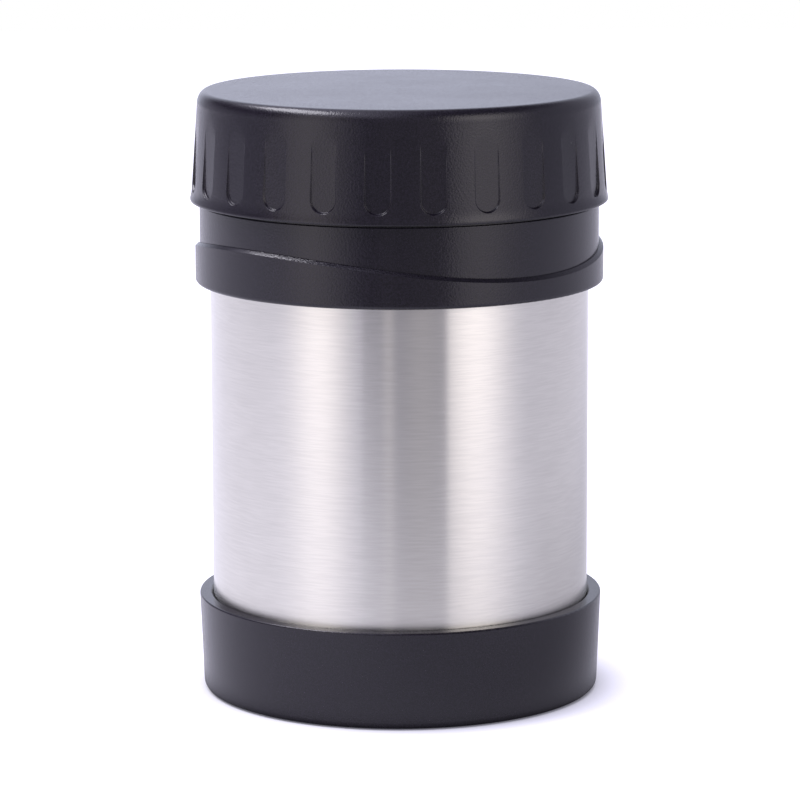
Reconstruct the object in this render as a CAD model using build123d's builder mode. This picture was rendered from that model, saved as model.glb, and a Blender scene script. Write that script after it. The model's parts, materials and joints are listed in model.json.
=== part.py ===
from build123d import *
import os

# Insulated food jar: a double-walled steel flask with a plastic base cup and neck collar,
# a screw-in stopper with a press button that lets the vacuum out, and a double-walled
# screw-on lid that covers the stopper and serves as a bowl.
#
# Millimetres. The jar stands on Z = 0 with its axis on Z. The front is -Y.
# Vertical sizes are stacked upwards from the floor, radial sizes are worked out from
# the steel shell: first outwards to the collar and lid, then inwards again to the mouth.

# ---------------------------------------------------------------- driving dimensions
# steel flask
shell_radius = 41.5          # outside of the brushed band
shell_wall = 0.5
liner_wall = 0.5
vacuum_gap = 3.2             # between the two walls
neck_vacuum_gap = 1.2        # the same gap in the neck
steel_band = 69.6            # brushed band left bare between base cup and collar
shell_shoulder_drop = 6.0    # height over which the shell draws in to the neck
shell_shoulder_round = 3.0
rim_overhang = 0.7           # the rolled mouth stands this much above the plastic neck
rim_round = 0.9

# bottom of the flask
base_floor = 1.8
foot_recess = 1.0            # hollow under the base cup, inside the foot ring
foot_width = 4.6
shell_bottom_wall = 0.6
shell_bottom_flange = 5.0    # the bottom's turned-down rim, seam-welded in the shell
shell_bottom_round = 2.0
weld_gap = 0.05
dimple_radius = 9.0
dimple_rise = 1.4
dimple_slope = 3.0
seal_hole_radius = 1.5
seal_bead_radius = 4.0
seal_bead_height = 1.0
seal_bead_round = 0.6
getter_radius = 4.4
getter_height = 1.6
getter_cup_wall = 0.4
getter_cup_lip = 0.5
getter_offset = 22.0         # distance of the getter from the axis
bottom_gap = 7.7             # between the two bottoms
liner_corner_round = 8.0
liner_seam_height = 10.0     # weld seam above the inside floor
foil_thickness = 0.15
foil_gap = 0.05
foil_margin = 1.5            # bare liner above the seam and below the bead

# base cup
base_height = 21.35
base_lip_depth = 3.5         # thickened lip that grips the shell
base_lip_slope = 1.2         # under the lip the bore runs out to the hollow behind it
base_hollow = 0.9            # depth of that hollow
base_lip_overhang = 3.08     # lip's outside beyond the shell
base_taper = 0.86            # radius lost from top to foot
base_foot_round = 1.6
base_lip_round = 0.35
base_lip_bevel = 0.45
base_seat_height = 3.2       # ring on the floor that centres the shell
glue_gap = 0.15              # between the steel and the plastic glued to it

# collar
collar_height = 17.35        # lower edge to the shoulder that the lid lands on
collar_skirt_wall = 2.11     # wall of the upper band, outside the steel
ledge_step = 1.02            # lower band stands out this much
wave_mean = 8.1              # mean height of the ledge above the lower edge
wave_rise = 2.76             # the ledge swings this much up and down, twice round
wave_azimuth = -137.0        # direction of one high point, from +X
saddle_margin = 4.0          # the saddle that trims the ledge reaches past the band
ledge_bevel = 0.7            # along the ledge
collar_edge_round = 0.8
collar_shoulder_round = 0.3
collar_roof = 0.6            # over the shoulder of the steel
neck_foot_round = 0.6
neck_height = 11.75
neck_wall = 2.05
neck_edge_round = 0.5
gasket_section = 1.1
gasket_groove = 1.8          # groove height
gasket_height = 6.35         # gasket centre above the shoulder

# lid
lid_shadow_gap = 0.55        # between the collar's shoulder and the lid's lower lip
lid_inset = 0.26             # the lid's bore lies this much inside the upper band
lip_wall = 2.28              # at the lower lip
lip_height = 0.5             # straight part of the lower lip
lip_flare = 0.36             # the lip stands out beyond the side
lip_flare_height = 1.9
lid_side_taper = 1.31        # radius lost from the lip to the shoulder
lid_shoulder_width = 2.04
lid_shoulder_height = 2.96
lid_top_wall = 1.8
lid_inner_draft = 1.2
lid_inner_round = 1.0
lid_liner_wall = 1.0
lid_liner_round = 6.0
lid_fit = 0.1                # between the lid's two walls where they are welded
lid_foam_gap = 3.1           # between the liner's roof and the lid's top
lid_foam_margin = 2.0
lid_foam_slack = 0.15
thread_space_lid = 1.5       # radial room for the lid thread
groove_count = 24
groove_phase = -5.35
groove_width = 5.4
groove_depth = 0.5           # at its foot
groove_run = 14.0            # height over which the leaning side runs into its floor
groove_margin = 2.4          # plain rim below the grooves
groove_reach = 17.6          # length of the cutter, more than the groove's
groove_draft = 14.0
groove_overcut = 0.5

# stopper
thread_space_stopper = 1.6   # radial room for the stopper thread
throat_depth = 2.9           # the bead under the thread closes in this much
throat_land = 1.0
throat_slope = 2.8
throat_land_round = 0.9
throat_round = 1.2
liner_shoulder = 4.1         # height over which the liner opens out below the bead
plug_length = 20.0           # stopper below the rim
nose_clearance = 0.6
nose_height = 2.6
nose_round = 0.8
seal_height = 3.6
seal_depth = 1.2             # the ring is held this deep behind the nose
seal_standout = 0.3          # the ring stands out beyond the plug
seal_gap = 0.45              # seal to the bead, measured downwards
plug_wall = 1.6
plug_floor = 1.6
stopper_head = 5.0           # head above the rim
head_margin = 1.3            # head inside the lid thread
head_round = 1.2
head_ring = 6.6              # width of the raised grip ring
head_clearance = 1.2         # head to the lid's roof
dish_depth = 2.4
head_floor = 2.0
skirt_fit = 0.2
skirt_depth = 4.0
scallop_count = 30
scallop_radius = 1.8
scallop_depth = 0.7
grip_rib_count = 4
grip_rib_width = 3.0
grip_rib_height = 1.8
boss_radius = 11.0
boss_drop = 0.4              # boss below the grip ring

# vent in the stopper
button_radius = 8.0
button_clearance = 0.3
button_standout = 0.6
button_top_wall = 1.4
button_wall = 1.4
button_depth = 5.2
button_travel = 2.0
button_round = 0.8
well_wall = 1.5
well_margin = 1.0            # left under the button when it is pressed home
well_floor = 1.0
stem_radius = 2.4
stem_clearance = 0.3
stem_socket = 1.4            # boss under the button that holds the stem
stem_neck_radius = 1.6
stem_head_radius = 3.0
stem_head_height = 0.9
tube_bore_gap = 1.0          # air way around the stem
tube_wall = 1.6
valve_radius = 7.0
valve_height = 1.5
valve_recess_radius = 9.0
valve_recess_depth = 2.4
spring_radius = 4.6          # middle of the wire
spring_wire = 0.7
spring_turns = 5
stopper_foam_clearance = 0.5
stopper_foam_bore_clearance = 1.6

# ---------------------------------------------------------------- heights, from the floor
shell_foot_z = foot_recess + base_floor
base_top_z = base_height
collar_foot_z = base_top_z + steel_band
shoulder_z = collar_foot_z + collar_height
neck_top_z = shoulder_z + neck_height
rim_z = neck_top_z + rim_overhang
shell_top_z = rim_z - liner_wall
shell_bottom_z = shell_foot_z + shell_bottom_flange
inside_floor_z = shell_bottom_z + bottom_gap + liner_wall
liner_seam_z = inside_floor_z + liner_seam_height
head_top_z = rim_z + stopper_head
liner_roof_z = head_top_z + head_clearance + lid_liner_wall
lid_top_z = liner_roof_z + lid_foam_gap + lid_top_wall
lid_foot_z = shoulder_z + lid_shadow_gap
lip_top_z = lid_foot_z + lip_height + lip_flare_height
lid_shoulder_z = lid_top_z - lid_shoulder_height
nose_z = rim_z - plug_length
plug_floor_z = nose_z + plug_floor
recess_z = nose_z + valve_recess_depth
seal_foot_z = nose_z + nose_height
seal_top_z = seal_foot_z + seal_height
dish_z = head_top_z - dish_depth
boss_z = head_top_z - boss_drop
button_top_z = boss_z + button_standout
button_foot_z = button_top_z - button_depth
button_inside_z = button_top_z - button_top_wall
well_floor_z = button_foot_z - button_travel - well_margin
waist_z = recess_z - valve_height
shell_shoulder_z = shoulder_z - collar_roof
gasket_z = shoulder_z + gasket_height

# ---------------------------------------------------------------- radii
# outwards from the steel
collar_bore = shell_radius + glue_gap
upper_band_radius = collar_bore + collar_skirt_wall
lower_band_radius = upper_band_radius + ledge_step
lid_shell_bore = upper_band_radius - lid_inset
lip_radius = lid_shell_bore + lip_wall
lid_side_radius = lip_radius - lip_flare
lid_shoulder_radius = lid_side_radius - lid_side_taper
# inwards again through the neck
lid_liner_radius = lid_shell_bore - lid_fit
lid_liner_bore = lid_liner_radius - lid_liner_wall
neck_radius = lid_liner_bore - thread_space_lid
neck_bore = neck_radius - neck_wall
shell_neck_radius = neck_bore - glue_gap
mouth_radius = shell_neck_radius - shell_wall - neck_vacuum_gap - liner_wall
throat_radius = mouth_radius - throat_depth
plug_radius = mouth_radius - thread_space_stopper
liner_radius = shell_radius - shell_wall - vacuum_gap - liner_wall
shell_bottom_radius = shell_radius - shell_wall - weld_gap
nose_radius = throat_radius - nose_clearance
seal_bore = nose_radius - seal_depth
seal_radius = plug_radius + seal_standout
head_radius = neck_radius - head_margin
plug_inside = plug_radius - plug_wall
groove_inside = seal_bore - plug_wall
button_well = button_radius + button_clearance
well_radius = button_well + well_wall
tube_bore = stem_radius + tube_bore_gap
tube_radius = tube_bore + tube_wall

# the bead in the liner, which the stopper's seal presses on: its upper cone is set
# seal_gap below the seal's lower outer edge
throat_top_z = seal_foot_z + seal_radius - nose_radius - seal_gap
throat_top_z = throat_top_z - (seal_radius - throat_radius) * throat_slope / throat_depth
throat_foot_z = throat_top_z - throat_land

os.makedirs("parts", exist_ok=True)


# ---------------------------------------------------------------- steel flask
with BuildPart() as outer_shell:
    with BuildSketch(Plane.XZ):
        with BuildLine():
            FilletPolyline(
                (shell_radius, shell_foot_z),
                (shell_radius, shell_shoulder_z - shell_shoulder_drop),
                (shell_neck_radius, shell_shoulder_z),
                (shell_neck_radius, shell_top_z),
                radius=shell_shoulder_round,
            )
            offset(amount=shell_wall, side=Side.LEFT)
        make_face()
    revolve(axis=Axis.Z)
outer_shell.part.label = "outer_shell"
export_step(outer_shell.part, "parts/outer_shell.step")

# pressed bottom with a turned-down rim and a dimple around the pump-out hole
with BuildPart() as shell_bottom:
    with BuildSketch(Plane.XZ):
        with BuildLine():
            FilletPolyline(
                (shell_bottom_radius, shell_foot_z),
                (shell_bottom_radius, shell_bottom_z),
                (dimple_radius + dimple_slope, shell_bottom_z),
                (dimple_radius, shell_bottom_z + dimple_rise),
                (seal_hole_radius, shell_bottom_z + dimple_rise),
                radius=[shell_bottom_round, shell_bottom_wall, 2 * shell_bottom_wall],
            )
            offset(amount=shell_bottom_wall, side=Side.LEFT)
        make_face()
    revolve(axis=Axis.Z)
shell_bottom.part.label = "shell_bottom"
export_step(shell_bottom.part, "parts/shell_bottom.step")

# solder bead that closes the pump-out hole
with BuildPart() as seal_plug:
    plug_top_z = shell_bottom_z + dimple_rise
    plug_seat_z = plug_top_z - shell_bottom_wall
    with BuildSketch(Plane.XY.offset(plug_seat_z)):
        Circle(seal_hole_radius - weld_gap)
    extrude(amount=shell_bottom_wall)
    with BuildSketch(Plane.XY.offset(plug_seat_z)):
        Circle(seal_bead_radius)
    extrude(amount=-seal_bead_height)
    fillet(seal_plug.edges().sort_by(Axis.Z)[0], seal_bead_round)
seal_plug.part.label = "seal_plug"
export_step(seal_plug.part, "parts/seal_plug.step")

with BuildPart() as getter_cup:
    cup_radius = getter_radius + weld_gap + getter_cup_wall
    with BuildSketch(Plane.XY.offset(shell_bottom_z)):
        with Locations((getter_offset, 0)):
            Circle(cup_radius)
    extrude(amount=getter_cup_wall + getter_height + getter_cup_lip)
    with BuildSketch(Plane.XY.offset(shell_bottom_z + getter_cup_wall)):
        with Locations((getter_offset, 0)):
            Circle(cup_radius - getter_cup_wall)
    extrude(amount=getter_height + getter_cup_lip, mode=Mode.SUBTRACT)
getter_cup.part.label = "getter_cup"
export_step(getter_cup.part, "parts/getter_cup.step")

with BuildPart() as getter:
    with BuildSketch(Plane.XY.offset(shell_bottom_z + getter_cup_wall)):
        with Locations((getter_offset, 0)):
            Circle(getter_radius)
    extrude(amount=getter_height)
getter.part.label = "getter"
export_step(getter.part, "parts/getter.step")

# inner wall: plain tube, a rolled bead for the stopper's seal, the mouth, and a rim
# rolled out over the shell's neck
with BuildPart() as inner_liner:
    with BuildSketch(Plane.XZ):
        with BuildLine():
            FilletPolyline(
                (liner_radius, liner_seam_z),
                (liner_radius, throat_foot_z - liner_shoulder),
                (throat_radius, throat_foot_z),
                (throat_radius, throat_top_z),
                (mouth_radius, throat_top_z + throat_slope),
                (mouth_radius, rim_z),
                (shell_neck_radius, rim_z),
                radius=[
                    throat_round,
                    throat_land_round,
                    throat_land_round,
                    throat_round,
                    rim_round,
                ],
            )
            offset(amount=liner_wall, side=Side.RIGHT)
        make_face()
    revolve(axis=Axis.Z)
inner_liner.part.label = "inner_liner"
export_step(inner_liner.part, "parts/inner_liner.step")

with BuildPart() as liner_bottom:
    with BuildSketch(Plane.XZ):
        with BuildLine():
            FilletPolyline(
                (0, inside_floor_z),
                (liner_radius, inside_floor_z),
                (liner_radius, liner_seam_z),
                radius=liner_corner_round,
            )
            offset(amount=liner_wall, side=Side.RIGHT)
        make_face()
    revolve(axis=Axis.Z)
liner_bottom.part.label = "liner_bottom"
export_step(liner_bottom.part, "parts/liner_bottom.step")

# bright foil wrapped round the liner, inside the vacuum
with BuildPart() as reflector_foil:
    foil_radius = liner_radius + liner_wall + foil_gap
    foil_top_z = throat_foot_z - liner_shoulder - foil_margin
    with BuildSketch(Plane.XY.offset(liner_seam_z + foil_margin)):
        Circle(foil_radius + foil_thickness)
        Circle(foil_radius, mode=Mode.SUBTRACT)
    extrude(amount=foil_top_z - liner_seam_z - foil_margin)
reflector_foil.part.label = "reflector_foil"
export_step(reflector_foil.part, "parts/reflector_foil.step")


# ---------------------------------------------------------------- base cup
with BuildPart() as base_cup:
    base_top_radius = shell_radius + base_lip_overhang
    base_foot_radius = base_top_radius - base_taper
    base_bore = shell_radius + glue_gap
    hollow_radius = base_bore + base_hollow
    with BuildSketch(Plane.XZ):
        with BuildLine():
            Polyline(
                (0, foot_recess),
                (base_foot_radius - foot_width - foot_recess, foot_recess),
                (base_foot_radius - foot_width, 0),
                (base_foot_radius, 0),
                (base_top_radius, base_top_z),
                (base_bore, base_top_z),
                (base_bore, base_top_z - base_lip_depth),
                (hollow_radius, base_top_z - base_lip_depth - base_lip_slope),
                (hollow_radius - base_taper / 2, shell_foot_z + base_seat_height),
                (base_bore, shell_foot_z + base_seat_height),
                (base_bore, shell_foot_z),
                (0, shell_foot_z),
                close=True,
            )
        make_face()
    revolve(axis=Axis.Z)
    floor_edges = base_cup.edges().filter_by(GeomType.CIRCLE).group_by(Axis.Z)[0]
    fillet(floor_edges.sort_by(SortBy.RADIUS)[-1], base_foot_round)
    lip_edges = base_cup.edges().filter_by(GeomType.CIRCLE).group_by(Axis.Z)[-1]
    fillet(lip_edges.sort_by(SortBy.RADIUS)[-1], base_lip_round)
    lip_edges = base_cup.edges().filter_by(GeomType.CIRCLE).group_by(Axis.Z)[-1]
    chamfer(lip_edges.sort_by(SortBy.RADIUS)[0], base_lip_bevel)
base_cup.part.label = "base_cup"
export_step(base_cup.part, "parts/base_cup.step")


# ---------------------------------------------------------------- collar
# The lower band's upper edge rises and falls twice round the jar. It is the line where
# the band meets a saddle: a block lofted between two slanted ends, one the other's mirror.
with BuildPart() as collar:
    band_top = wave_mean + wave_rise + ledge_step
    with BuildSketch(Plane.XY.offset(collar_foot_z)):
        Circle(lower_band_radius)
        Circle(upper_band_radius - ledge_step, mode=Mode.SUBTRACT)
    extrude(amount=band_top)

    saddle = Plane.XY.rotated((0, 0, wave_azimuth - 45))
    reach = lower_band_radius + saddle_margin
    swing = 2 * wave_rise * (reach / lower_band_radius) ** 2
    for end in (-1, 1):
        slant = Plane(
            origin=saddle.from_local_coords((end * reach, 0, collar_foot_z)),
            x_dir=saddle.y_dir,
            z_dir=saddle.x_dir,
        )
        with BuildSketch(slant):
            with BuildLine():
                Polyline(
                    (-reach, -wave_mean),
                    (reach, -wave_mean),
                    (reach, wave_mean + end * swing),
                    (-reach, wave_mean - end * swing),
                    close=True,
                )
            make_face()
    loft(ruled=True, mode=Mode.INTERSECT)

    band_face = collar.faces().filter_by(GeomType.CYLINDER).sort_by(SortBy.AREA)[-1]
    band_edges = band_face.edges().filter_by(GeomType.LINE, reverse=True)
    wave_edges = band_edges.filter_by(GeomType.CIRCLE, reverse=True)
    chamfer(wave_edges, ledge_bevel)
    foot_edges = collar.edges().filter_by(GeomType.CIRCLE).group_by(Axis.Z)[0]
    fillet(foot_edges.sort_by(SortBy.RADIUS)[-1], collar_edge_round)

    with BuildSketch(Plane.XZ) as wall:
        with BuildLine():
            Polyline(
                (collar_bore, collar_foot_z),
                (upper_band_radius, collar_foot_z),
                (upper_band_radius, shoulder_z),
                (neck_radius, shoulder_z),
                (neck_radius, neck_top_z),
                (neck_bore, neck_top_z),
                (neck_bore, shell_shoulder_z),
                (collar_bore, shell_shoulder_z - shell_shoulder_drop),
                close=True,
            )
        make_face()
        corners = wall.vertices()
        fillet(corners.sort_by_distance((upper_band_radius, shoulder_z))[0], collar_shoulder_round)
        fillet(corners.sort_by_distance((neck_radius, shoulder_z))[0], neck_foot_round)
        fillet(corners.sort_by_distance((neck_radius, neck_top_z))[0], neck_edge_round)
        with Locations((neck_bore, gasket_z)):
            Rectangle(2 * gasket_section, gasket_groove, mode=Mode.SUBTRACT)
    revolve(axis=Axis.Z)
collar.part.label = "collar"
export_step(collar.part, "parts/collar.step")

# round ring between the neck and the steel
with BuildPart() as collar_gasket:
    with BuildSketch(Plane.XZ):
        with Locations((shell_neck_radius + weld_gap + gasket_section / 2, gasket_z)):
            Circle(gasket_section / 2)
    revolve(axis=Axis.Z)
collar_gasket.part.label = "collar_gasket"
export_step(collar_gasket.part, "parts/collar_gasket.step")


# ---------------------------------------------------------------- stopper
# lower cup: thread wall, seal groove, nose, and the air tube in the middle
with BuildPart() as stopper_cup:
    with BuildSketch(Plane.XZ) as cup_wall:
        with BuildLine():
            Polyline(
                (tube_bore, recess_z),
                (valve_recess_radius, recess_z),
                (valve_recess_radius, nose_z),
                (nose_radius, nose_z),
                (nose_radius, seal_foot_z),
                (seal_bore, seal_foot_z),
                (seal_bore, seal_top_z),
                (plug_radius, seal_top_z),
                (plug_radius, rim_z),
                (plug_inside, rim_z),
                (plug_inside, seal_top_z + plug_wall + plug_inside - groove_inside),
                (groove_inside, seal_top_z + plug_wall),
                (groove_inside, plug_floor_z),
                (valve_recess_radius + plug_floor, plug_floor_z),
                (valve_recess_radius + plug_floor, recess_z + plug_floor),
                (tube_radius, recess_z + plug_floor),
                (tube_radius, well_floor_z - well_floor),
                (tube_bore, well_floor_z - well_floor),
                close=True,
            )
        make_face()
        corners = cup_wall.vertices()
        fillet(corners.sort_by_distance((nose_radius, nose_z))[0], nose_round)
        fillet(corners.sort_by_distance((groove_inside, plug_floor_z))[0], nose_round)
    revolve(axis=Axis.Z)
stopper_cup.part.label = "stopper_cup"
export_step(stopper_cup.part, "parts/stopper_cup.step")

# upper half: grip ring, dish with ribs, boss and button well
with BuildPart() as stopper_cap:
    dish_radius = head_radius - head_ring
    skirt_radius = plug_inside - skirt_fit
    with BuildSketch(Plane.XZ) as cap_wall:
        with BuildLine():
            Polyline(
                (stem_radius + stem_clearance, well_floor_z),
                (button_well, well_floor_z),
                (button_well, boss_z),
                (boss_radius, boss_z),
                (boss_radius, dish_z),
                (dish_radius, dish_z),
                (dish_radius, head_top_z),
                (head_radius, head_top_z),
                (head_radius, rim_z),
                (skirt_radius, rim_z),
                (skirt_radius, rim_z - skirt_depth),
                (skirt_radius - plug_wall, rim_z - skirt_depth),
                (skirt_radius - plug_wall, dish_z - head_floor),
                (well_radius, dish_z - head_floor),
                (well_radius, well_floor_z - well_floor),
                (stem_radius + stem_clearance, well_floor_z - well_floor),
                close=True,
            )
        make_face()
        corners = cap_wall.vertices()
        fillet(corners.sort_by_distance((head_radius, head_top_z))[0], head_round)
        fillet(corners.sort_by_distance((dish_radius, head_top_z))[0], head_round)
        fillet(corners.sort_by_distance((dish_radius, dish_z))[0], head_round / 2)
        fillet(corners.sort_by_distance((boss_radius, boss_z))[0], head_round / 2)
    revolve(axis=Axis.Z)
    # ribs across the dish, from the boss to the grip ring
    rib_length = dish_radius - boss_radius + head_round
    with BuildSketch(Plane.XY.offset(dish_z)):
        with PolarLocations(boss_radius + rib_length / 2 - head_round / 2, grip_rib_count):
            Rectangle(rib_length, grip_rib_width)
    extrude(amount=grip_rib_height)
    # hollows round the edge for the fingers
    with BuildSketch(Plane.XY.offset(rim_z)):
        with PolarLocations(head_radius + scallop_radius - scallop_depth, scallop_count):
            Circle(scallop_radius)
    extrude(amount=stopper_head, mode=Mode.SUBTRACT)
stopper_cap.part.label = "stopper_cap"
export_step(stopper_cap.part, "parts/stopper_cap.step")

# silicone ring whose lower edge presses on the liner's bead
with BuildPart() as stopper_seal:
    lip = seal_radius - nose_radius
    with BuildSketch(Plane.XZ):
        with BuildLine():
            Polyline(
                (seal_bore, seal_foot_z),
                (nose_radius, seal_foot_z),
                (seal_radius, seal_foot_z + lip),
                (seal_radius, seal_top_z),
                (seal_bore, seal_top_z),
                close=True,
            )
        make_face()
    revolve(axis=Axis.Z)
stopper_seal.part.label = "stopper_seal"
export_step(stopper_seal.part, "parts/stopper_seal.step")

# foam ring closed in the hollow of the stopper
with BuildPart() as stopper_foam:
    foam_top_z = dish_z - head_floor - stopper_foam_clearance
    foam_bore = max(valve_recess_radius + plug_floor, well_radius) + stopper_foam_bore_clearance
    with BuildSketch(Plane.XY.offset(plug_floor_z)):
        Circle(groove_inside - stopper_foam_clearance)
        Circle(foam_bore, mode=Mode.SUBTRACT)
    extrude(amount=foam_top_z - plug_floor_z)
    fillet(stopper_foam.edges().group_by(Axis.Z)[0].sort_by(SortBy.RADIUS)[-1], 2 * nose_round)
stopper_foam.part.label = "stopper_foam"
export_step(stopper_foam.part, "parts/stopper_foam.step")


# ---------------------------------------------------------------- vent
with BuildPart() as vent_button:
    with BuildSketch(Plane.XY.offset(button_foot_z)):
        Circle(button_radius)
    extrude(amount=button_depth)
    with BuildSketch(Plane.XY.offset(button_foot_z)):
        Circle(button_radius - button_wall)
        Circle(stem_radius + stem_socket, mode=Mode.SUBTRACT)
    extrude(amount=button_inside_z - button_foot_z, mode=Mode.SUBTRACT)
    with BuildSketch(Plane.XY.offset(button_foot_z)):
        Circle(stem_radius + weld_gap)
    extrude(amount=button_inside_z - button_foot_z, mode=Mode.SUBTRACT)
    fillet(vent_button.edges().sort_by(Axis.Z)[-1], button_round)
vent_button.part.label = "vent_button"
export_step(vent_button.part, "parts/vent_button.step")

# stem with a waist for the valve and a head that holds it on
with BuildPart() as vent_stem:
    head_z = waist_z - stem_head_height
    with BuildSketch(Plane.XZ):
        with BuildLine():
            Polyline(
                (0, head_z),
                (stem_head_radius - stem_head_height / 2, head_z),
                (stem_head_radius, head_z + stem_head_height / 2),
                (stem_head_radius, waist_z),
                (stem_neck_radius, waist_z),
                (stem_neck_radius, recess_z),
                (stem_radius, recess_z),
                (stem_radius, button_inside_z),
                (0, button_inside_z),
                close=True,
            )
        make_face()
    revolve(axis=Axis.Z)
vent_stem.part.label = "vent_stem"
export_step(vent_stem.part, "parts/vent_stem.step")

with BuildPart() as vent_valve:
    with BuildSketch(Plane.XY.offset(waist_z)):
        Circle(valve_radius)
        Circle(stem_neck_radius + weld_gap, mode=Mode.SUBTRACT)
    extrude(amount=valve_height)
    valve_rim = vent_valve.edges().group_by(Axis.Z)[0].sort_by(SortBy.RADIUS)[-1]
    fillet(valve_rim, valve_height / 2)
vent_valve.part.label = "vent_valve"
export_step(vent_valve.part, "parts/vent_valve.step")

# return spring between the well's floor and the roof of the button
with BuildPart() as vent_spring:
    coil_foot_z = well_floor_z + spring_wire / 2
    coil_height = button_inside_z - well_floor_z - spring_wire
    with BuildLine():
        wire = Helix(
            pitch=coil_height / spring_turns,
            height=coil_height,
            radius=spring_radius,
            center=(0, 0, coil_foot_z),
        )
    with BuildSketch(Plane(origin=wire @ 0, z_dir=wire % 0)):
        Circle(spring_wire / 2)
    sweep(is_frenet=True)
vent_spring.part.label = "vent_spring"
export_step(vent_spring.part, "parts/vent_spring.step")


# ---------------------------------------------------------------- lid
# one groove's cutter: a slot whose floor leans less than the lid's side does, so that
# the groove runs out of the side near the top
with BuildPart() as groove_cutter:
    side_lean = lid_side_taper / (lid_shoulder_z - lip_top_z)
    groove_floor = Plane(
        origin=(0, groove_depth - lid_side_radius, lid_foot_z + groove_margin),
        x_dir=(1, 0, 0),
        z_dir=(0, -1, side_lean - groove_depth / groove_run),
    )
    with BuildSketch(groove_floor):
        with Locations((0, groove_reach / 2)):
            SlotOverall(groove_reach, groove_width, rotation=90)
    extrude(amount=groove_depth + lip_flare + groove_overcut, taper=-groove_draft)

with BuildPart() as lid_shell:
    lid_inside_z = lid_top_z - lid_top_wall
    lid_neck_z = liner_roof_z - lid_liner_round
    with BuildSketch(Plane.XZ) as lid_wall:
        with BuildLine():
            Polyline(
                (lid_shell_bore, lid_foot_z),
                (lip_radius, lid_foot_z),
                (lip_radius, lid_foot_z + lip_height),
                (lid_side_radius, lip_top_z),
                (lid_shoulder_radius, lid_shoulder_z),
            )
            EllipticalCenterArc(
                (lid_shoulder_radius - lid_shoulder_width, lid_shoulder_z),
                lid_shoulder_width,
                lid_shoulder_height,
                start_angle=0,
                arc_size=90,
            )
            Polyline(
                (lid_shoulder_radius - lid_shoulder_width, lid_top_z),
                (0, lid_top_z),
                (0, lid_inside_z),
                (lid_shell_bore - lid_inner_draft, lid_inside_z),
                (lid_shell_bore, lid_neck_z),
                (lid_shell_bore, lid_foot_z),
            )
        make_face()
        corners = lid_wall.vertices()
        inner_corner = (lid_shell_bore - lid_inner_draft, lid_inside_z)
        fillet(corners.sort_by_distance(inner_corner)[0], lid_inner_round)
        fillet(corners.sort_by_distance((lid_side_radius, lip_top_z))[0], 2 * lip_flare_height)
        fillet(corners.sort_by_distance((lip_radius, lid_foot_z))[0], lip_height * 0.6)
    revolve(axis=Axis.Z)
    with PolarLocations(0, groove_count, groove_phase):
        add(groove_cutter.part, mode=Mode.SUBTRACT)
lid_shell.part.label = "lid_shell"
export_step(lid_shell.part, "parts/lid_shell.step")

# inner cup, whose rim stands on the collar's shoulder
with BuildPart() as lid_liner:
    with BuildSketch(Plane.XZ):
        with BuildLine():
            FilletPolyline(
                (lid_liner_radius, shoulder_z),
                (lid_liner_radius, liner_roof_z),
                (0, liner_roof_z),
                radius=lid_liner_round,
            )
            offset(amount=lid_liner_wall, side=Side.LEFT)
        make_face()
    revolve(axis=Axis.Z)
lid_liner.part.label = "lid_liner"
export_step(lid_liner.part, "parts/lid_liner.step")

# foam disc between the lid's two roofs
with BuildPart() as lid_foam:
    with BuildSketch(Plane.XY.offset(liner_roof_z)):
        Circle(lid_shell_bore - lid_inner_draft - lid_foam_margin)
    extrude(amount=lid_foam_gap - lid_foam_slack)
lid_foam.part.label = "lid_foam"
export_step(lid_foam.part, "parts/lid_foam.step")
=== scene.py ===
import json
import math

import bmesh
import bpy
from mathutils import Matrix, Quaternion, Vector


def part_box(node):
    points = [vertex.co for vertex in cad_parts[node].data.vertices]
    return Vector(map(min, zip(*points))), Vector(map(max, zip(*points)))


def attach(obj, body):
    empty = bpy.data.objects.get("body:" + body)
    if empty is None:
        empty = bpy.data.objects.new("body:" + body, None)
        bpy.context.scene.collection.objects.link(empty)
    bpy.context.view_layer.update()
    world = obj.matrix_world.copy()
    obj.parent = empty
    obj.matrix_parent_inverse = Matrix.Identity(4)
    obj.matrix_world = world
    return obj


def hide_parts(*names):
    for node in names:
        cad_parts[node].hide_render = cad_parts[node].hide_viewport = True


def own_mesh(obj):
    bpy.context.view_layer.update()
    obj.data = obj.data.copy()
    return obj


# Looks of the insulated food jar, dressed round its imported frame: a brushed steel flask in a
# black base cup, a black neck collar, a fluted screw lid, and the stopper under the lid.
#
# Metres. The jar stands on Z = 0 with its axis on Z, and its front is -Y. What a piece has
# to fit is read from the frame, and the rest is written in millimetres, as 5.4 * mm.

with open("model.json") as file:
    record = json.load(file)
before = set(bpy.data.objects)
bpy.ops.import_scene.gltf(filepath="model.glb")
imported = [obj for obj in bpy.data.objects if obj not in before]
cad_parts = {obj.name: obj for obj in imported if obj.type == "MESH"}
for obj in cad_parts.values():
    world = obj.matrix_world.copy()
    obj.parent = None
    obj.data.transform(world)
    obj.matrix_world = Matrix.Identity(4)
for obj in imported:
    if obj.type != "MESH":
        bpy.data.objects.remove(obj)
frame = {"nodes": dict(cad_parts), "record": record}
scene = bpy.context.scene
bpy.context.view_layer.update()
mm = 0.001


def reach(node):
    """Radius, foot and top of a round node of the frame."""
    low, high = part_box(node)
    return high.x, low.z, high.z


lip_radius, lid_foot, lid_top = reach("lid_shell")
lid_liner_radius, lid_liner_foot, lid_liner_roof = reach("lid_liner")
_, _, neck_top = reach("collar")
_, _, rim_top = reach("inner_liner")
plug_radius, plug_foot, _ = reach("stopper_cup")

# ------------------------------------------------------------------ camera
camera_distance = 919.8 * mm
camera_elevation = math.radians(10.27)
camera_roll = math.radians(-0.15)
camera_aim = Vector((0.05 * mm, 0, 63.82 * mm))
camera_lens = 187.2                  # in mm, as the sensor's width is
camera_sensor = 36


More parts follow.
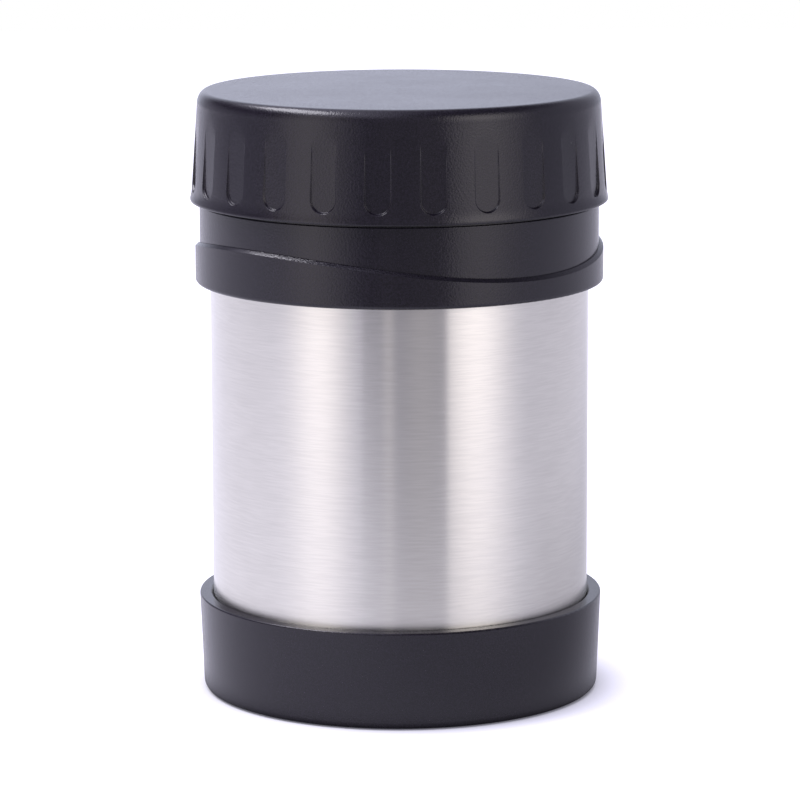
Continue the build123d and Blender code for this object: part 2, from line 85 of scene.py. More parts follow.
def set_camera():
    camera = bpy.data.objects.new("camera", bpy.data.cameras.new("camera"))
    scene.collection.objects.link(camera)
    back = Vector((0, -math.cos(camera_elevation), math.sin(camera_elevation)))
    camera.location = camera_aim + back * camera_distance
    camera.rotation_mode = "QUATERNION"
    camera.rotation_quaternion = (-back).to_track_quat("-Z", "Y") @ Quaternion((0, 0, 1), camera_roll)
    camera.data.lens = camera_lens
    camera.data.sensor_width = camera_sensor
    camera.data.clip_start = 0.01
    scene.camera = camera


# ------------------------------------------------------------------ node trees
def place(tree, kind, inputs=(), **settings):
    """Adds a node. Each input gets a value, or the output of another node."""
    made = tree.nodes.new(kind)
    for key, value in settings.items():
        setattr(made, key, value)
    for key, value in dict(inputs).items():
        if isinstance(value, bpy.types.NodeSocket):
            tree.links.new(value, made.inputs[key])
        else:
            made.inputs[key].default_value = value
    return made


def maths(tree, operation, *values):
    """The result of one Math node."""
    return place(tree, "ShaderNodeMath", enumerate(values), operation=operation).outputs[0]


def blend(tree, share, first, second):
    """A colour between first and second, by share."""
    return place(tree, "ShaderNodeMix", {0: share, 6: first, 7: second}, data_type="RGBA").outputs[2]


def ramped(tree, value, low, high, to_low=0.0, to_high=1.0, smooth=True):
    """value carried from low..high to to_low..to_high, and held beyond them."""
    made = place(
        tree,
        "ShaderNodeMapRange",
        {0: value, 1: low, 2: high, 3: to_low, 4: to_high},
        interpolation_type="SMOOTHSTEP" if smooth else "LINEAR",
    )
    return made.outputs[0]


# ------------------------------------------------------------------ effects that finishes share
def effect(name, inputs, outputs):
    """An empty shader node group with these inputs and outputs, and its two end nodes."""
    group = bpy.data.node_groups.new(name, "ShaderNodeTree")
    for label, value in inputs.items():
        group.interface.new_socket(label, in_out="INPUT", socket_type="NodeSocketFloat").default_value = value
    for label in outputs:
        group.interface.new_socket(label, in_out="OUTPUT", socket_type="NodeSocketFloat")
    return group, place(group, "NodeGroupInput").outputs, place(group, "NodeGroupOutput")


def make_moulded_grain():
    """Fine grain of a spark-eroded mould: its height, its specks, and a slow drift in gloss and
    shade."""
    group, given, result = effect("moulded_grain", {"Grain Size": 0.22 * mm}, ["Height", "Specks", "Drift"])
    scale = maths(group, "DIVIDE", 1.0, given["Grain Size"])
    where = place(group, "ShaderNodeTexCoord").outputs["Object"]
    fine = place(group, "ShaderNodeTexNoise", {"Vector": where, "Scale": scale, "Detail": 2.0})
    pits = place(group, "ShaderNodeTexVoronoi", {"Vector": where, "Scale": scale})
    height = maths(group, "MULTIPLY_ADD", pits.outputs["Distance"], 0.5, fine.outputs[0])
    slow = place(group, "ShaderNodeTexNoise", {"Vector": where, "Scale": 45.0, "Detail": 3.0})
    group.links.new(height, result.inputs["Height"])
    group.links.new(fine.outputs[0], result.inputs["Specks"])
    group.links.new(slow.outputs[0], result.inputs["Drift"])
    return group


def make_brush_lines():
    """Fine lines round the jar, as a belt leaves them: their height, and bands of denser brushing."""
    group, given, result = effect(
        "brush_lines", {"Line Width": 0.26 * mm, "Line Length": 6 * mm}, ["Height", "Bands"]
    )
    band_scale = (0.6, 0.6, 0.06)    # of the lines' scale: bands are longer and far wider
    where = place(group, "ShaderNodeTexCoord").outputs["Object"]
    split = place(group, "ShaderNodeSeparateXYZ", {0: where})
    along = maths(group, "DIVIDE", 1.0, given["Line Length"])
    across = maths(group, "DIVIDE", 1.0, given["Line Width"])
    line_place = place(
        group,
        "ShaderNodeCombineXYZ",
        {
            0: maths(group, "MULTIPLY", split.outputs[0], along),
            1: maths(group, "MULTIPLY", split.outputs[1], along),
            2: maths(group, "MULTIPLY", split.outputs[2], across),
        },
    )
    lines = place(group, "ShaderNodeTexNoise", {"Vector": line_place.outputs[0], "Scale": 1.0, "Detail": 3.0})
    slow_place = place(
        group, "ShaderNodeVectorMath", {0: line_place.outputs[0], 1: band_scale}, operation="MULTIPLY"
    )
    bands = place(group, "ShaderNodeTexNoise", {"Vector": slow_place.outputs[0], "Scale": 1.0, "Detail": 2.0})
    group.links.new(lines.outputs[0], result.inputs["Height"])
    group.links.new(bands.outputs[0], result.inputs["Bands"])
    return group


def make_lint():
    """Sparse specks of dust and lint, as a mask."""
    group, given, result = effect("lint", {"Spacing": 8 * mm, "Speck Size": 0.018}, ["Mask"])
    bend = (0.0012, 0.0012, 0.0012)  # how far a speck's outline wanders
    where = place(group, "ShaderNodeTexCoord").outputs["Object"]
    bent = place(group, "ShaderNodeTexNoise", {"Vector": where, "Scale": 700.0, "Detail": 1.0})
    shifted = place(
        group,
        "ShaderNodeVectorMath",
        {0: bent.outputs["Color"], 1: bend, 2: where},
        operation="MULTIPLY_ADD",
    )
    scale = maths(group, "DIVIDE", 1.0, given["Spacing"])
    cells = place(group, "ShaderNodeTexVoronoi", {"Vector": shifted.outputs[0], "Scale": scale})
    speck = maths(group, "LESS_THAN", cells.outputs["Distance"], given["Speck Size"])
    group.links.new(speck, result.inputs["Mask"])
    return group


moulded_grain = make_moulded_grain()
brush_lines = make_brush_lines()
lint = make_lint()


def add_effect(tree, group, **values):
    """Places an effect in a material with its own values. A name's _ stands for a space."""
    made = place(tree, "ShaderNodeGroup", node_tree=group)
    for label, value in values.items():
        made.inputs[label.replace("_", " ")].default_value = value
    return made.outputs


# ------------------------------------------------------------------ finishes
narrow_span, middle_span, wide_span = (0.35, 0.65), (0.3, 0.7), (0.25, 0.75)    # of noise values
grain_shades = (0.7, 1.35)           # of the colour, in the grain's pits and on its tops
grain_roughness = 0.045              # that the tops have more than the pits
lint_colour = (0.4, 0.4, 0.42, 1)
lint_share = 0.25                    # of the lint's colour over the plastic's
brushed_shade = 0.95                 # of the colour, at the bottom of the brush lines


def finish(name, **plain):
    """A new material: its node tree and its Principled shader, with plain values set."""
    made = bpy.data.materials.new(name)
    made.use_nodes = True
    shader = made.node_tree.nodes["Principled BSDF"]
    for label, value in plain.items():
        shader.inputs[label.replace("_", " ")].default_value = value
    return made, made.node_tree, shader


def bump(tree, shader, height, depth):
    made = place(tree, "ShaderNodeBump", {"Height": height, "Distance": depth, "Strength": 1.0})
    tree.links.new(made.outputs[0], shader.inputs["Normal"])


def moulded_plastic(name, colour, roughness, grain_size, grain_depth):
    """Grained polypropylene with a little drift in shade and gloss, and a few specks of lint."""
    made, tree, shader = finish(name, IOR=1.49)
    grain = add_effect(tree, moulded_grain, Grain_Size=grain_size)
    specks = add_effect(tree, lint)
    darker, paler = (tuple(share * c for c in colour) + (1,) for share in grain_shades)
    shade = blend(tree, ramped(tree, grain["Specks"], *middle_span), darker, paler)
    shade = blend(tree, maths(tree, "MULTIPLY", specks["Mask"], lint_share), shade, lint_colour)
    tree.links.new(shade, shader.inputs["Base Color"])
    slow = ramped(tree, grain["Drift"], *wide_span, roughness - 0.045, roughness - 0.015)
    gloss = ramped(tree, grain["Specks"], *middle_span, 0, grain_roughness)
    tree.links.new(maths(tree, "ADD", slow, gloss), shader.inputs["Roughness"])
    bump(tree, shader, grain["Height"], grain_depth)
    return made


def brushed_steel(name, colour, roughness, anisotropy, line_width, line_depth):
    """Stainless steel brushed round the jar, which draws every reflection out along its height."""
    made, tree, shader = finish(name, Metallic=1.0, Anisotropic=anisotropy, Anisotropic_Rotation=0.25)
    lines = add_effect(tree, brush_lines, Line_Width=line_width)
    darker = tuple(brushed_shade * c for c in colour) + (1,)
    shade = blend(tree, ramped(tree, lines["Height"], *narrow_span), darker, colour + (1,))
    tree.links.new(shade, shader.inputs["Base Color"])
    gloss = ramped(tree, lines["Bands"], *middle_span, roughness - 0.01, roughness + 0.01)
    tree.links.new(gloss, shader.inputs["Roughness"])
    bump(tree, shader, lines["Height"], line_depth)
    return made


def plain_finish(name, colour, roughness, grain_size, grain_depth, **plain):
    """A finish of one colour with a fine surface: rubber, foam, foil, solder, wire."""
    made, tree, shader = finish(name, **plain)
    grain = add_effect(tree, moulded_grain, Grain_Size=grain_size)
    paler = tuple(min(1.0, 1.15 * c) for c in colour) + (1,)
    shade = blend(tree, ramped(tree, grain["Drift"], *middle_span), colour + (1,), paler)
    tree.links.new(shade, shader.inputs["Base Color"])
    gloss = ramped(tree, grain["Drift"], *wide_span, roughness - 0.04, roughness + 0.04)
    tree.links.new(gloss, shader.inputs["Roughness"])
    bump(tree, shader, grain["Height"], grain_depth)
    return made


finishes = {
    "black_plastic": moulded_plastic("black_moulded", (0.0118, 0.0090, 0.0170), 0.22, 0.42 * mm, 0.028 * mm),
    "inner_plastic": moulded_plastic("inner_moulded", (0.022, 0.021, 0.023), 0.36, 0.30 * mm, 0.006 * mm),
    "steel_brushed": brushed_steel("brushed_band", (0.79, 0.77, 0.705), 0.24, 0.95, 0.26 * mm, 0.0002 * mm),
    "steel_plain": brushed_steel("spun_steel", (0.72, 0.71, 0.70), 0.27, 0.5, 0.35 * mm, 0.002 * mm),
    "foil": plain_finish("bright_foil", (0.85, 0.52, 0.34), 0.18, 2.5 * mm, 0.05 * mm, Metallic=1.0),
    "getter_metal": plain_finish("getter_pill", (0.18, 0.17, 0.165), 0.7, 0.12 * mm, 0.02 * mm, Metallic=0.6),
    "solder": plain_finish("solder_bead", (0.50, 0.50, 0.52), 0.35, 0.5 * mm, 0.01 * mm, Metallic=1.0),
    "silicone": plain_finish("clear_silicone", (0.52, 0.53, 0.52), 0.45, 0.4 * mm, 0.004 * mm),
    "foam": plain_finish("insulating_foam", (0.78, 0.77, 0.72), 0.9, 0.5 * mm, 0.08 * mm),
    "spring_steel": plain_finish("spring_wire", (0.55, 0.55, 0.56), 0.25, 0.6 * mm, 0.003 * mm, Metallic=1.0),
}


def dress_frame():
    """Gives every node of the frame the finish of its slot in the record."""
    for part in frame["record"]["subparts"]:
        for mesh_slot in frame["nodes"][part["node"]].material_slots:
            mesh_slot.material = finishes[part["material_slot"]]


# ------------------------------------------------------------------ mesh helpers
def build(name, points, faces, slot, body, sharp=math.radians(40)):
    """A piece from its points and faces, welded and shaded smooth up to its sharp edges."""
    mesh = bpy.data.meshes.new(name)
    mesh.from_pydata(points, [], faces)
    shape = bmesh.new()
    shape.from_mesh(mesh)
    bmesh.ops.remove_doubles(shape, verts=shape.verts, dist=0.001 * mm)
    bmesh.ops.recalc_face_normals(shape, faces=shape.faces)
    shape.to_mesh(mesh)
    shape.free()
    mesh.shade_smooth()
    mesh.set_sharp_from_angle(angle=sharp)
    mesh.materials.append(finishes[slot])
    piece = bpy.data.objects.new(name, mesh)
    scene.collection.objects.link(piece)
    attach(piece, body)
    return piece


def arc(centre, width, height, start, end, steps):
    """Points of an arc, or of an ellipse's arc, in the (radius, height) plane. Angles in degrees."""
    angles = [math.radians(start + (end - start) * k / steps) for k in range(steps + 1)]
    return [(centre[0] + width * math.cos(a), centre[1] + height * math.sin(a)) for a in angles]


def rounded(corners, steps=6):
    """An outline through (radius, height, rounding) corners, with an arc at each rounded one."""
    outline = [corners[0][:2]]
    for before, corner, after in zip(corners, corners[1:], corners[2:]):
        if corner[2] == 0:
            outline.append(corner[:2])
            continue
        here = Vector(corner[:2])
        back = (Vector(before[:2]) - here).normalized()
        on = (Vector(after[:2]) - here).normalized()
        half = back.angle(on) / 2
        centre = here + (back + on).normalized() * (corner[2] / math.sin(half))
        start = here + back * (corner[2] / math.tan(half)) - centre
        end = here + on * (corner[2] / math.tan(half)) - centre
        for k in range(steps + 1):
            spoke = start.lerp(end, k / steps).normalized() * corner[2]
            outline.append(tuple(centre + spoke))
    return outline + [corners[-1][:2]]


def turned(outline, count):
    """Points and faces of an open outline turned round the axis. Its points on the axis become
    one point each when the piece is welded."""
    points, faces = [], []
    for k in range(count):
        angle = 2 * math.pi * k / count
        points += [(r * math.cos(angle), r * math.sin(angle), z) for r, z in outline]
    size = len(outline)
    for k in range(count):
        here, there = k * size, (k + 1) % count * size
        for j in range(size - 1):
            faces.append((here + j, there + j, there + j + 1, here + j + 1))
    return points, faces


def ring_faces(size, count, first=0):
    """Quads between closed rings of size points, from each of count rings to the next."""
    faces = []
    for ring in range(count):
        for k in range(size):
            a, b = first + ring * size + k, first + ring * size + (k + 1) % size
            faces.append((a, b, b + size, a + size))
    return faces


def add_spun(points, faces, form, angle):
    """Adds a form's points and faces, spun round the axis by an angle."""
    first = len(points)
    cosine, sine = math.cos(angle), math.sin(angle)
    points += [(x * cosine - y * sine, x * sine + y * cosine, z) for x, y, z in form[0]]
    faces += [tuple(first + corner for corner in face) for face in form[1]]


# ------------------------------------------------------------------ fluted lid
lip_height = 0.5 * mm                # straight part of the lower lip
flare_height = 1.9 * mm
side_radius = lip_radius - 0.36 * mm
side_taper = 1.31 * mm               # radius lost from the flare to the shoulder
lid_shoulder_width = 2.04 * mm
lid_shoulder_height = 2.96 * mm
groove_count = 24
groove_phase = math.radians(-5.75)
groove_width = 5.4 * mm
groove_foot = lid_foot + 2.4 * mm
groove_head = groove_foot + 17.6 * mm
groove_draft = math.radians(26)
groove_depth = 0.60 * mm             # at its foot
groove_run = 16.2 * mm               # height over which the leaning side runs into its floor
groove_edge = 0.10 * mm              # how softly the groove's edges are rounded
run_out_edge = 0.04 * mm             # the same, where the floor comes out of the side
lip_rounding, bore_rounding = 0.25 * mm, 0.15 * mm
lid_bore = lid_liner_radius + 0.1 * mm
lid_bore_head = lid_liner_roof - 6 * mm
lid_roof = lid_top - 1.8 * mm        # its underside
roof_inset, roof_rounding = 1.2 * mm, 1.0 * mm
panel_foot = lid_foot + 1.2 * mm     # one groove's panel of the side, from here
panel_head = lid_top - lid_shoulder_height
side_steps, end_steps = 12, 24       # facets of a groove's straight side, and of its round end
flare_steps, shoulder_steps = 5, 14
# The panel's rings of points: millimetres that each is larger than the groove's outline, and
# then shares of the way from the last of them to the panel's edge
ring_growths = (
    -0.55, -0.3, -0.18, -0.1, -0.04, 0.02, 0.07, 0.12, 0.17, 0.22, 0.27, 0.33, 0.42, 0.6, 0.9,
)
edge_shares = (0.4, 1.0)
floor_shares = (0.25, 0.5, 0.75)     # points across the groove's floor
roof_shares = (0.97, 0.8, 0.5, 0.2, 0)


def soft_min(a, b, softness):
    near = max(softness - abs(a - b), 0) / softness
    return min(a, b) - near * near * softness / 4


def lid_side(height):
    """Radius of the lid's leaning side, with the flare down to its lip."""
    flare_top = lid_foot + lip_height + flare_height
    leaning = side_radius - side_taper * (height - flare_top) / (panel_head - flare_top)
    rise = min(max((height - lid_foot - lip_height) / flare_height, 0), 1)
    return leaning + (lip_radius - leaning) * (1 - rise) ** 2


def groove_ring(grown):
    """A groove's outline grown by so much, as (across, height) points from its right foot."""
    radius = groove_width / 2 + grown
    foot, head = groove_foot + groove_width / 2, groove_head - groove_width / 2
    rise = [foot + (head - foot) * k / side_steps for k in range(side_steps)]
    swing = [math.pi * k / end_steps for k in range(end_steps)]
    ring = [(radius, z) for z in rise]
    ring += [(radius * math.cos(a), head + radius * math.sin(a)) for a in swing]
    ring += [(-radius, foot + head - z) for z in rise]
    ring += [(-radius * math.cos(a), foot - radius * math.sin(a)) for a in swing]
    return ring


def panel_ring():
    """The edge of a groove's panel, point for point with groove_ring."""
    tall, wide = side_steps + end_steps // 2, end_steps // 2
    half = math.pi / groove_count
    rise = [panel_foot + (panel_head - panel_foot) * k / tall for k in range(tall)]
    swing = [half - 2 * half * k / wide for k in range(wide)]
    ring = [(half, z) for z in rise] + [(a, panel_head) for a in swing]
    ring += [(-half, panel_foot + panel_head - z) for z in rise] + [(-a, panel_foot) for a in swing]
    ring = [(lid_side(z) * math.sin(a), z) for a, z in ring]
    return ring[end_steps // 4:] + ring[:end_steps // 4]


def sunk(across, height):
    """How far from the axis the lid's side is there, in a groove's own plane. The groove's
    floor leans less than the side does, and comes out of it at the end of the groove's run."""
    foot, head = groove_foot + groove_width / 2, groove_head - groove_width / 2
    nearest = min(max(height, foot), head)
    outside = math.hypot(across, height - nearest) - groove_width / 2
    rise = -soft_min(-outside / math.tan(groove_draft), 0, groove_edge)
    side_lean = side_taper / (panel_head - groove_foot)
    floor = side_radius - groove_depth - (side_lean - groove_depth / groove_run) * (height - groove_foot)
    land = math.sqrt(lid_side(height) ** 2 - across ** 2)
    return soft_min(land, floor + rise, min(groove_edge, run_out_edge + rise))


def groove_panel():
    """Points and faces of the groove at the front and the side round it."""
    rings = [groove_ring(growth * mm) for growth in ring_growths]
    outermost, edge = rings[-1], panel_ring()
    for share in edge_shares:
        rings.append([
            (a[0] + (b[0] - a[0]) * share, a[1] + (b[1] - a[1]) * share)
            for a, b in zip(outermost, edge)
        ])
    flat = [point for ring in rings for point in ring]
    size = len(edge)
    faces = ring_faces(size, len(rings) - 1)
    # the floor, as rows of quads from the left side of the innermost ring to the right
    foot_point, head_point = size - end_steps // 2, side_steps + end_steps // 2
    rows = []
    for k in range(1, size // 2):
        right = (foot_point + k) % size
        left = (foot_point - k) % size
        row = [left]
        for share in floor_shares:
            row.append(len(flat))
            flat.append((flat[left][0] * (1 - 2 * share), flat[left][1]))
        rows.append(row + [right])
    for lower, upper in zip(rows, rows[1:]):
        for k in range(4):
            faces.append((lower[k], lower[k + 1], upper[k + 1], upper[k]))
    for k in range(4):
        faces.append((foot_point, rows[0][k + 1], rows[0][k]))
        faces.append((head_point, rows[-1][k], rows[-1][k + 1]))
    return [(x, -sunk(x, z), z) for x, z in flat], faces


def fluted_lid():
    """The lid's outer shell: its grooved side, and the skirt and crown that close it."""
    panel = groove_panel()
    points, faces = [], []
    for k in range(groove_count):
        add_spun(points, faces, panel, 2 * math.pi * k / groove_count + groove_phase)
    lip_top = lid_foot + lip_height
    flare = [panel_foot - (panel_foot - lip_top) * k / flare_steps for k in range(flare_steps)]
    skirt = [(lid_side(z), z) for z in flare] + rounded([
        (lip_radius, lip_top),
        (lip_radius, lid_foot, lip_rounding),
        (lid_bore, lid_foot, bore_rounding),
        (lid_bore, lid_bore_head, 0),
        (lid_bore - roof_inset, lid_roof, roof_rounding),
        (lid_bore * 0.5, lid_roof, 0),
        (0, lid_roof),
    ])
    roof_radius = lid_side(panel_head) - lid_shoulder_width
    crown = arc(
        (roof_radius, panel_head), lid_shoulder_width, lid_shoulder_height, 0, 90, shoulder_steps
    )
    crown += [(crown[-1][0] * share, lid_top) for share in roof_shares]
    around = groove_count * end_steps // 2
    seam = groove_phase - math.pi / 2 + math.pi / groove_count    # between two panels
    for outline in (skirt, crown):
        add_spun(points, faces, turned(outline, around), seam)
    lid = build("fluted_lid", points, faces, "black_plastic", "lid")
    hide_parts("lid_shell")


# ------------------------------------------------------------------ threads
lead = 12 * mm                       # every thread of the jar rises this much in a turn
thread_starts = 3
lid_bore_inside = lid_liner_radius - 1.0 * mm
neck_radius = lid_bore_inside - 1.5 * mm
mouth_radius = plug_radius + 1.6 * mm
neck_thread_foot = lid_liner_foot + 1.6 * mm
neck_thread_head = neck_top - 1.4 * mm
mouth_thread_foot = plug_foot + 7.6 * mm    # above the stopper's seal and the liner's bead
mouth_thread_head = rim_top - 2.4 * mm
rib_height = 1.2 * mm
steel_rib_height = 1.0 * mm          # of the mouth's ribs
rib_width = 1.4 * mm                 # along the axis, at the wall
crest_width = 0.7 * mm
crest_rounding = 0.2 * mm
rib_sink = 0.1 * mm                  # how deep a rib's root sits in its wall
rib_run_in = math.radians(14)        # over which a rib grows out of the wall at each end
rib_step = math.radians(3)


def thread(name, wall, crest, foot, head, slot, body, half_pitch_up=False):
    """Right-hand ribs, one for each start, from the wall's radius to the crest's. The mating
    thread is the one that stands half a pitch higher."""
    outwards = -1 if crest < wall else 1
    root = wall - outwards * rib_sink
    profile = rounded([
        (root, -rib_width / 2),
        (crest, -crest_width / 2, crest_rounding),
        (crest, crest_width / 2, crest_rounding),
        (root, rib_width / 2),
    ], steps=4)
    swing = 2 * math.pi * (head - foot - rib_width) / lead
    steps = round(swing / rib_step)
    points, faces = [], []
    for start in range(thread_starts):
        first = len(points)
        offset = 2 * math.pi * start / thread_starts + (math.pi / thread_starts if half_pitch_up else 0)
        for k in range(steps + 1):
            turn = swing * k / steps
            grown = min(min(turn, swing - turn) / rib_run_in, 1)
            grown = grown * grown * (3 - 2 * grown)
            height = foot + rib_width / 2 + lead * turn / (2 * math.pi)
            angle = turn - offset
            for r, z in profile:
                r = root + (r - root) * grown
                z = height + z * math.sqrt(grown)
                points.append((r * math.cos(angle), r * math.sin(angle), z))
        faces += ring_faces(len(profile), steps, first)
    build(name, points, faces, slot, body, sharp=math.radians(60))


def threads():
    """Lid on neck, and stopper in mouth."""
    neck, mouth = (neck_thread_foot, neck_thread_head), (mouth_thread_foot, mouth_thread_head)
    thread("neck_thread", neck_radius, neck_radius + rib_height, *neck, "black_plastic", "flask")
    thread("lid_thread", lid_bore_inside, lid_bore_inside - rib_height, *neck,
           "inner_plastic", "lid", half_pitch_up=True)
    thread("mouth_thread", mouth_radius, mouth_radius - steel_rib_height, *mouth,
           "steel_plain", "flask")
    thread("stopper_thread", plug_radius, plug_radius + rib_height, *mouth,
           "inner_plastic", "stopper", half_pitch_up=True)


# ------------------------------------------------------------------ return spring
spring_wire = 0.7 * mm
spring_turns = 5
turn_steps, wire_steps = 36, 12      # facets of one turn, and round the wire


def return_spring():
    """The coil between the stopper and the vent button."""
    low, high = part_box("vent_spring")
    radius = high.x - spring_wire / 2
    foot, head = low.z + spring_wire / 2, high.z - spring_wire / 2
    steps = turn_steps * spring_turns
    slope = (head - foot) / (2 * math.pi * spring_turns)
    points = []
    for k in range(steps + 1):
        angle = 2 * math.pi * spring_turns * k / steps
        outwards = Vector((math.cos(angle), math.sin(angle), 0))
        onwards = Vector((-radius * math.sin(angle), radius * math.cos(angle), slope)).normalized()
        centre = outwards * radius + Vector((0, 0, foot + (head - foot) * k / steps))
        for j in range(wire_steps):
            turn = 2 * math.pi * j / wire_steps
            spoke = outwards * math.cos(turn) + outwards.cross(onwards) * math.sin(turn)
            points.append(centre + spoke * (spring_wire / 2))
    ends = (tuple(first + j for j in range(wire_steps)) for first in (0, steps * wire_steps))
    faces = ring_faces(wire_steps, steps) + list(ends)
    spring = build("return_spring", points, faces, "spring_steel", "stopper", sharp=math.radians(60))
    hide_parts("vent_spring")
    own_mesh(spring)


# ------------------------------------------------------------------ stage and light
# A white sheet under and behind the jar, white cloth at both sides with a lamp behind each,
# and a dim room in front, where the two cloths leave a gap.
#
# Azimuths are in degrees, from the camera to the right. A span is the two ends of what a change
# runs over, and a ramp is a span with the level at each end. X and Z are those of the direction
# that a reflection comes from, and in the sheet's own ramps those of a point on it.
cloth_colour = (1.0, 0.98, 1.22, 1)
backdrop_colour = (0.85, 0.88, 1.07, 1)
paper_colour = (1.0, 0.98, 1.18, 1)
lamp_colour = (1.0, 0.93, 0.90, 1)
soft_light_colour = (0.98, 0.97, 1.05, 1)
soft_light_level = 0.5
left_cloth_ramp = (0, 0.4, 0.44, 0.06)       # over Z
right_cloth_level = 0.48
cloth_span = (-95, 95)                       # azimuths, from the left cloth's level to the right's
backdrop_span = (138, 172)                   # azimuths on either side, from cloth to backdrop
backdrop_ramp = (-0.15, 0.15, 1.2, 0.85)     # over X
front_gap = (-22.4, 28.6)                    # azimuths of its edges
gap_softness = 1.5                           # degrees on either side of an edge
room_level = 0.24
# Lamps: azimuth, half width, and level low down and high up
cloth_lamps = ((-52, 31, 1.0, 1.0), (48, 37, 0.88, 2.1))
room_lamps = ((-6.5, 5.5, 0.24, 0.24), (14, 18, 0.15, 0.15))
lamp_span = (-0.1, 0.35)                     # Z, from low down to high up
overhead_ramp = (-0.5, 0.35, 1.5, 0.12)      # over X
overhead_span = (0.42, 0.80)                 # Z, from the cloths to what hangs over the jar
backdrop_rise = 0.15                         # Z, that the backdrop reaches higher

# The sheet. Openness is the share of its sky that the jar leaves open; over it the sheet's glow takes a
# painted contact shadow.
shadow_reaches = (25 * mm, 15 * mm)          # in gloss, and seen by the camera
seen_shadow_ramp = (0.24, 0.92, 0.12, 0.85)  # over openness
gloss_shadow_ramp = (0.42, 0.78, 0.10, 1)    # over openness
# Painted light on the sheet as gloss sees it: brighter to the left and back, brighter far to the right, and a
# painted pool of light in front and to the right.
slant = 0.25                                 # of Y in the distance to the left
slant_ramp = (-0.13, 0.06, 0.44, 1.03)       # over that distance
right_ramp = (0.08, 0.25, 0, 0.33)           # over X
pool_centre = (0.15, -0.14, 0)               # of a pool of light in front and to the right
pool_ramp = (0.02, 0.16, 0.45, 0)            # over the distance to its centre
paper_grey = (0.67, 0.67, 0.67, 1)


def seen_share(tree):
    """1 for a ray that shows the background: from the camera, off gloss or through glass. And
    1 for a ray from the camera alone."""
    path = place(tree, "ShaderNodeLightPath").outputs
    seen = maths(tree, "MAXIMUM", path["Is Camera Ray"], path["Is Glossy Ray"])
    return maths(tree, "MAXIMUM", seen, path["Is Transmission Ray"]), path["Is Camera Ray"]


def tinted(tree, level, colour):
    """The colour at a level."""
    return place(tree, "ShaderNodeVectorMath", {0: colour[:3], "Scale": level}, operation="SCALE").outputs[0]


def sum_of(tree, first, second):
    """Two colours' light together."""
    return place(tree, "ShaderNodeVectorMath", {0: first, 1: second}, operation="ADD").outputs[0]


def what_gloss_sees(tree):
    """The cloths, the backdrop and the gap between them, by azimuth round the jar."""
    direction = place(tree, "ShaderNodeTexCoord").outputs["Generated"]
    along = place(tree, "ShaderNodeSeparateXYZ", {0: direction}).outputs
    forward = maths(tree, "MULTIPLY", along["Y"], -1.0)
    azimuth = maths(tree, "MULTIPLY", maths(tree, "ARCTAN2", along["X"], forward), 180 / math.pi)
    aside = maths(tree, "ABSOLUTE", azimuth)
    behind = ramped(tree, aside, *backdrop_span)
    left_level = ramped(tree, along["Z"], *left_cloth_ramp)
    level = ramped(tree, azimuth, *cloth_span, left_level, right_cloth_level)
    shown = tinted(tree, maths(tree, "MULTIPLY", level, maths(tree, "SUBTRACT", 1.0, behind)), cloth_colour)
    backdrop = maths(tree, "MULTIPLY", behind, ramped(tree, along["X"], *backdrop_ramp))
    shown = sum_of(tree, shown, tinted(tree, backdrop, backdrop_colour))

    def glow(centre, half_width, low, high):
        distance = maths(tree, "ABSOLUTE", maths(tree, "SUBTRACT", azimuth, centre))
        strength = ramped(tree, along["Z"], *lamp_span, low, high)
        return tinted(tree, ramped(tree, distance, 0, half_width, strength, 0), lamp_colour)

    for cloth_lamp in cloth_lamps:
        shown = sum_of(tree, shown, glow(*cloth_lamp))
    room = tuple(room_level * c for c in cloth_colour[:3])
    for room_lamp in room_lamps:
        room = sum_of(tree, room, glow(*room_lamp))
    left_edge, right_edge = front_gap
    opened = maths(
        tree, "MULTIPLY",
        ramped(tree, azimuth, left_edge - gap_softness, left_edge + gap_softness),
        ramped(tree, azimuth, right_edge - gap_softness, right_edge + gap_softness, 1, 0),
    )
    shown = blend(tree, opened, shown, room)
    height = maths(tree, "MULTIPLY_ADD", behind, -backdrop_rise, along["Z"])
    overhead = tinted(tree, ramped(tree, along["X"], *overhead_ramp), cloth_colour)
    return blend(tree, ramped(tree, height, *overhead_span), shown, overhead)


def white_world():
    """White to the camera. Gloss sees the studio round the jar. Everything else gets a plain
    soft light."""
    world = bpy.data.worlds.new("studio")
    world.use_nodes = True
    scene.world = world
    tree = world.node_tree
    tree.nodes.clear()
    seen, camera_ray = seen_share(tree)
    shown = blend(tree, camera_ray, what_gloss_sees(tree), (1, 1, 1, 1))
    background = place(tree, "ShaderNodeBackground", {"Color": shown, "Strength": 1.0})
    soft_light = place(
        tree, "ShaderNodeBackground", {"Color": soft_light_colour, "Strength": soft_light_level}
    )
    mixed = place(tree, "ShaderNodeMixShader", {0: seen, 1: soft_light.outputs[0], 2: background.outputs[0]})
    place(tree, "ShaderNodeOutputWorld", {"Surface": mixed.outputs[0]})


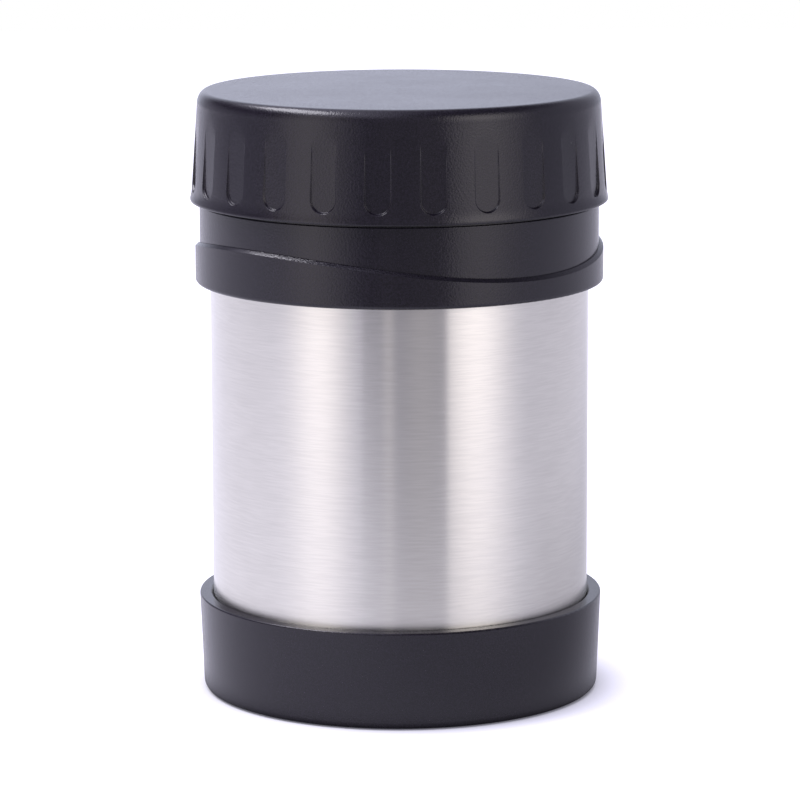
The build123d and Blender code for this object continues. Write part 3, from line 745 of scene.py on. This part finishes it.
def white_floor():
    """A sheet of white paper, bright to the camera and in gloss, with the jar's contact shadow: cast on the
    paper, and painted into its glow.
    """
    front, back, side, under = -0.30, 1.6, 1.2, -0.05 * mm
    corners = [(-side, front, under), (side, front, under), (side, back, under), (-side, back, under)]
    mesh = bpy.data.meshes.new("paper_floor")
    mesh.from_pydata(corners, [], [(0, 1, 2, 3)])
    floor = bpy.data.objects.new("paper_floor", mesh)
    scene.collection.objects.link(floor)
    made = bpy.data.materials.new("white_paper")
    made.use_nodes = True
    tree = made.node_tree
    tree.nodes.clear()
    seen, camera_ray = seen_share(tree)
    # Painted contact shadow: the glow, to the camera and in gloss, fades where the jar closes off the sheet's
    # sky.
    shadow_reach = ramped(tree, camera_ray, 0, 1, *shadow_reaches, smooth=False)
    openness = place(
        tree, "ShaderNodeAmbientOcclusion", {"Distance": shadow_reach}, samples=16
    ).outputs["AO"]
    where = place(tree, "ShaderNodeTexCoord").outputs["Object"]
    split = place(tree, "ShaderNodeSeparateXYZ", {0: where}).outputs
    leftwards = maths(tree, "MULTIPLY_ADD", split["Y"], slant, maths(tree, "MULTIPLY", split["X"], -1.0))
    seen_bright = ramped(tree, openness, *seen_shadow_ramp)
    pool_distance = place(
        tree, "ShaderNodeVectorMath", {0: where, 1: pool_centre}, operation="DISTANCE"
    ).outputs["Value"]
    # Painted light: the sheet's level in gloss, over the slant, over X and round the painted pool of light.
    level = maths(
        tree, "ADD", ramped(tree, leftwards, *slant_ramp), ramped(tree, split["X"], *right_ramp)
    )
    level = maths(tree, "ADD", level, ramped(tree, pool_distance, *pool_ramp))
    gloss_bright = maths(tree, "MULTIPLY", ramped(tree, openness, *gloss_shadow_ramp), level)
    paper = place(tree, "ShaderNodeBsdfDiffuse", {"Color": paper_grey})
    glow = place(
        tree, "ShaderNodeEmission",
        {"Color": cloth_colour, "Strength": maths(tree, "MULTIPLY", seen, seen_bright)},
    )
    both = place(tree, "ShaderNodeAddShader", {0: paper.outputs[0], 1: glow.outputs[0]})
    gloss = place(tree, "ShaderNodeEmission", {"Color": paper_colour, "Strength": gloss_bright})
    gloss_ray = place(tree, "ShaderNodeLightPath").outputs["Is Glossy Ray"]
    shown = place(tree, "ShaderNodeMixShader", {0: gloss_ray, 1: both.outputs[0], 2: gloss.outputs[0]})
    place(tree, "ShaderNodeOutputMaterial", {"Surface": shown.outputs[0]})
    mesh.materials.append(made)


def key_lamp(azimuth, elevation, distance, width, height, power, colour):
    """A soft lamp high to one side. Angles in degrees, azimuth from the camera to the right."""
    lamp = bpy.data.lights.new("key_lamp", "AREA")
    lamp.shape = "ELLIPSE"
    lamp.size, lamp.size_y = width, height
    lamp.energy = power
    lamp.color = colour
    holder = bpy.data.objects.new("key_lamp", lamp)
    scene.collection.objects.link(holder)
    turn, up = math.radians(azimuth), math.radians(elevation)
    aim = Vector((0, 0, 90 * mm))    # about two thirds up the jar
    towards = Vector((math.sin(turn) * math.cos(up), -math.cos(turn) * math.cos(up), math.sin(up)))
    holder.location = aim + towards * distance
    holder.rotation_mode = "QUATERNION"
    holder.rotation_quaternion = towards.to_track_quat("Z", "Y")


scene.view_settings.view_transform = "Standard"
set_camera()
white_world()
white_floor()
key_lamp(
    azimuth=-88, elevation=55, distance=1.0, width=0.90, height=0.36, power=7.0, colour=(1.0, 0.98, 1.06)
)
dress_frame()
fluted_lid()
threads()
return_spring()
